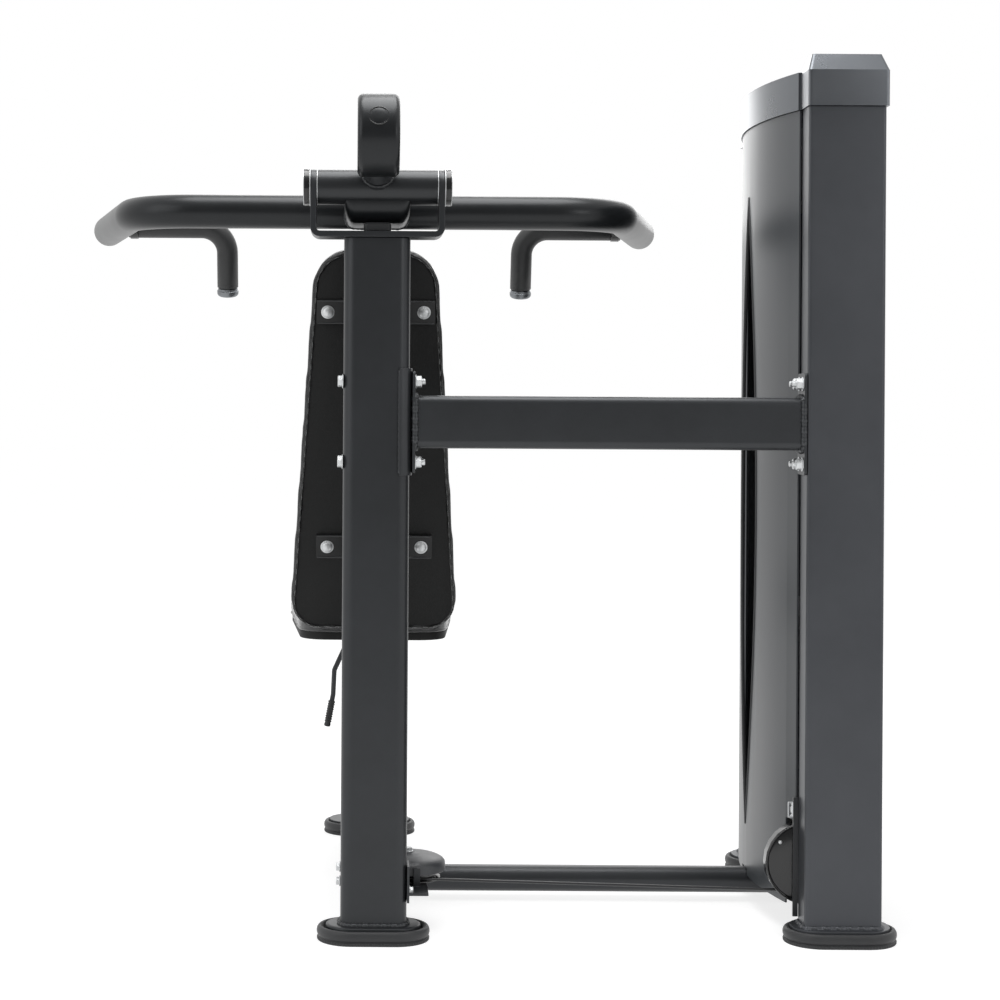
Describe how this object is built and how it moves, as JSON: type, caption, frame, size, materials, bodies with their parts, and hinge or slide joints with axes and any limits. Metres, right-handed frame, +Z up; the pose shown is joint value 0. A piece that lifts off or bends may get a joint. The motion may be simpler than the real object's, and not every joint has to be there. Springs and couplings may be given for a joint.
{
  "type": "shoulder press machine",
  "caption": "Seated shoulder press with a bent lever arm, a tilted back pad and a cable-linked weight stack in a side tower.",
  "frame": {"origin": "centre of the underside of the rubber foot of the rear post, on the floor", "axes": "+Z up, +Y the way the user faces, +X toward the weight tower on the user's right"},
  "size_m": [1.4673, 1.1238, 1.513],
  "materials": {
    "frame_paint": "fine matte powder coat",
    "tower_paint": "fine matte powder coat",
    "shroud_panel": "satin powder coat",
    "cap_plastic": "satin",
    "foot_rubber": "matte",
    "grip_rubber": "matte",
    "vinyl": "grained",
    "board": "matte",
    "gloss_plastic": "gloss",
    "zinc": "zinc plated",
    "chrome": "polished",
    "bronze_bush": "satin",
    "cast_iron": "painted matte",
    "cable_cover": "satin"
  },
  "bodies": {
    "frame": {"rear_post": "frame_paint", "rear_foot": "foot_rubber", "front_foot": "foot_rubber", "base_beam": "frame_paint", "yoke": "frame_paint", "pivot_shaft": "zinc", "left_pivot_cap": "gloss_plastic", "right_pivot_cap": "gloss_plastic", "arm_bumper": "foot_rubber", "upper_cross_tube": "frame_paint", "lower_cross_tube": "frame_paint", "tower_rear_post": "tower_paint", "tower_front_post": "tower_paint", "tower_rear_foot": "foot_rubber", "tower_front_foot": "foot_rubber", "tower_base_beam": "tower_paint", "tower_top_beam": "tower_paint", "tower_cap": "cap_plastic", "inner_shroud": "shroud_panel", "outer_shroud": "shroud_panel", "rear_guide_rod": "chrome", "front_guide_rod": "chrome", "rear_stack_buffer": "foot_rubber", "front_stack_buffer": "foot_rubber", "resting_plates": "cast_iron", "back_pad_board": "board", "back_pad_cushion": "vinyl", "upper_pad_bracket": "frame_paint", "lower_pad_bracket": "frame_paint", "seat_sleeve": "frame_paint", "seat_bush": "gloss_plastic", "side_pulley_cover": "gloss_plastic", "side_pulley_bracket": "frame_paint", "tower_pulley_cover": "gloss_plastic", "tower_pulley_bracket": "tower_paint", "front_pulley_bracket": "frame_paint", "drive_cable": "cable_cover"},
    "press_arm": {"press_arm": "frame_paint", "counterweight": "frame_paint", "left_grip": "grip_rubber", "right_grip": "grip_rubber", "left_pivot_bush": "bronze_bush", "right_pivot_bush": "bronze_bush", "cable_cam": "frame_paint", "cable_end": "cable_cover"},
    "front_pulley": {"front_pulley": "gloss_plastic"},
    "side_pulley": {"side_pulley": "gloss_plastic"},
    "tower_low_pulley": {"tower_low_pulley": "gloss_plastic"},
    "top_rear_pulley": {"top_rear_pulley": "gloss_plastic"},
    "top_front_pulley": {"top_front_pulley": "gloss_plastic"},
    "weight_stack": {"lifted_plates": "cast_iron", "head_plate": "cast_iron", "selector_stem": "chrome", "stack_cable": "cable_cover"},
    "selector_pin": {"selector_pin": "chrome"},
    "seat": {"seat_stem": "chrome", "seat_board": "board", "seat_cushion": "vinyl"},
    "seat_lever": {"seat_lever": "frame_paint", "seat_lever_grip": "grip_rubber"}
  },
  "joints": [
    {"name": "arm_swing", "type": "hinge", "parent": "frame", "child": "press_arm", "pos_m": [0, 0, 1.283], "axis": [1, 0, 0], "range_deg": [0, 50]},
    {"name": "front_pulley_spin", "type": "hinge", "parent": "frame", "child": "front_pulley", "pos_m": [0.0115, 0.235, 0.142], "axis": [1, 0, 0], "range_deg": [0, 106]},
    {"name": "side_pulley_spin", "type": "hinge", "parent": "frame", "child": "side_pulley", "pos_m": [0.0615, 0.097, 0.092], "axis": [0, 0, 1], "range_deg": [-106, 0]},
    {"name": "tower_low_pulley_spin", "type": "hinge", "parent": "frame", "child": "tower_low_pulley", "pos_m": [0.747, 0.047, 0.125], "axis": [0, 1, 0], "range_deg": [0, 106]},
    {"name": "top_rear_pulley_spin", "type": "hinge", "parent": "frame", "child": "top_rear_pulley", "pos_m": [0.797, 0.097, 1.35], "axis": [1, 0, 0], "range_deg": [0, 106]},
    {"name": "top_front_pulley_spin", "type": "hinge", "parent": "frame", "child": "top_front_pulley", "pos_m": [0.797, 0.2325, 1.35], "axis": [1, 0, 0], "range_deg": [0, 106]},
    {"name": "stack_lift", "type": "slide", "parent": "frame", "child": "weight_stack", "axis": [0, 0, 1], "range_m": [0, 0.092], "deforming": ["stack_cable"]},
    {"name": "selector_pin_pull", "type": "slide", "parent": "weight_stack", "child": "selector_pin", "axis": [-1, 0, 0], "range_m": [0, 0.07]},
    {"name": "seat_height", "type": "slide", "parent": "frame", "child": "seat", "axis": [0, 0, 1], "range_m": [-0.09, 0.04]},
    {"name": "seat_lever_swing", "type": "hinge", "parent": "seat", "child": "seat_lever", "pos_m": [-0.05, 0.56992, 0.437], "axis": [1, 0, 0], "range_deg": [0, 20], "stiffness_Nm_per_rad": 1}
  ],
  "couplings": [
    {"joint": "stack_lift", "follows": "arm_swing", "m_per_rad": 0.105},
    {"joint": "front_pulley_spin", "follows": "arm_swing", "ratio": 2.1},
    {"joint": "side_pulley_spin", "follows": "arm_swing", "ratio": -2.1},
    {"joint": "tower_low_pulley_spin", "follows": "arm_swing", "ratio": 2.1},
    {"joint": "top_rear_pulley_spin", "follows": "arm_swing", "ratio": 2.1},
    {"joint": "top_front_pulley_spin", "follows": "arm_swing", "ratio": 2.1}
  ]
}
